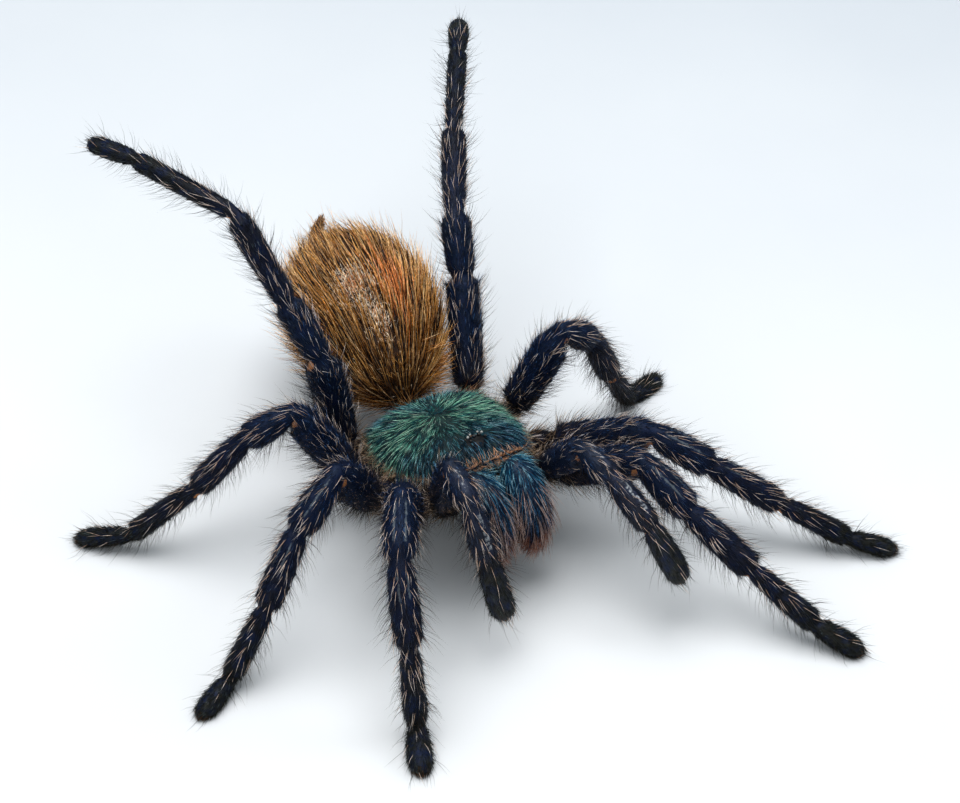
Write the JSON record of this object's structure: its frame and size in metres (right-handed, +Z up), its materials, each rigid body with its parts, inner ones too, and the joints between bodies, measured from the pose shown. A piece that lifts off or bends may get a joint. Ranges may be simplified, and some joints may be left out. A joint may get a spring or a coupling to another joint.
{
  "type": "tarantula specimen",
  "caption": "Dry tarantula specimen set in a standing pose, with a green carapace, a golden haired abdomen and blue-black legs, the hind pair raised.",
  "frame": {"origin": "centre of the bounding box at the surface that the feet stand on", "axes": "+Z up, the head towards -Y and the specimen's left side towards +X"},
  "size_m": [0.1045, 0.1153, 0.0484],
  "materials": {
    "carapace": "short iridescent green hair over dark cuticle",
    "abdomen": "long golden orange hair over dark brown skin",
    "jaws": "blue sheen with long pale-tipped hair",
    "limbs": "blue-black cuticle with dense dark hair and sparse pale hair",
    "fangs": "glossy black"
  },
  "bodies": {
    "root": {"cephalothorax": "carapace", "abdomen": "abdomen", "spinneret_left": "abdomen", "spinneret_right": "abdomen", "jaw_left": "jaws", "jaw_right": "jaws", "fang_left": "fangs", "fang_right": "fangs", "pedipalp_left": "limbs", "pedipalp_right": "limbs", "leg_1_left": "limbs", "leg_1_right": "limbs", "leg_2_left": "limbs", "leg_2_right": "limbs", "leg_3_left": "limbs", "leg_3_right": "limbs", "leg_4_left": "limbs", "leg_4_right": "limbs"}
  },
  "joints": []
}
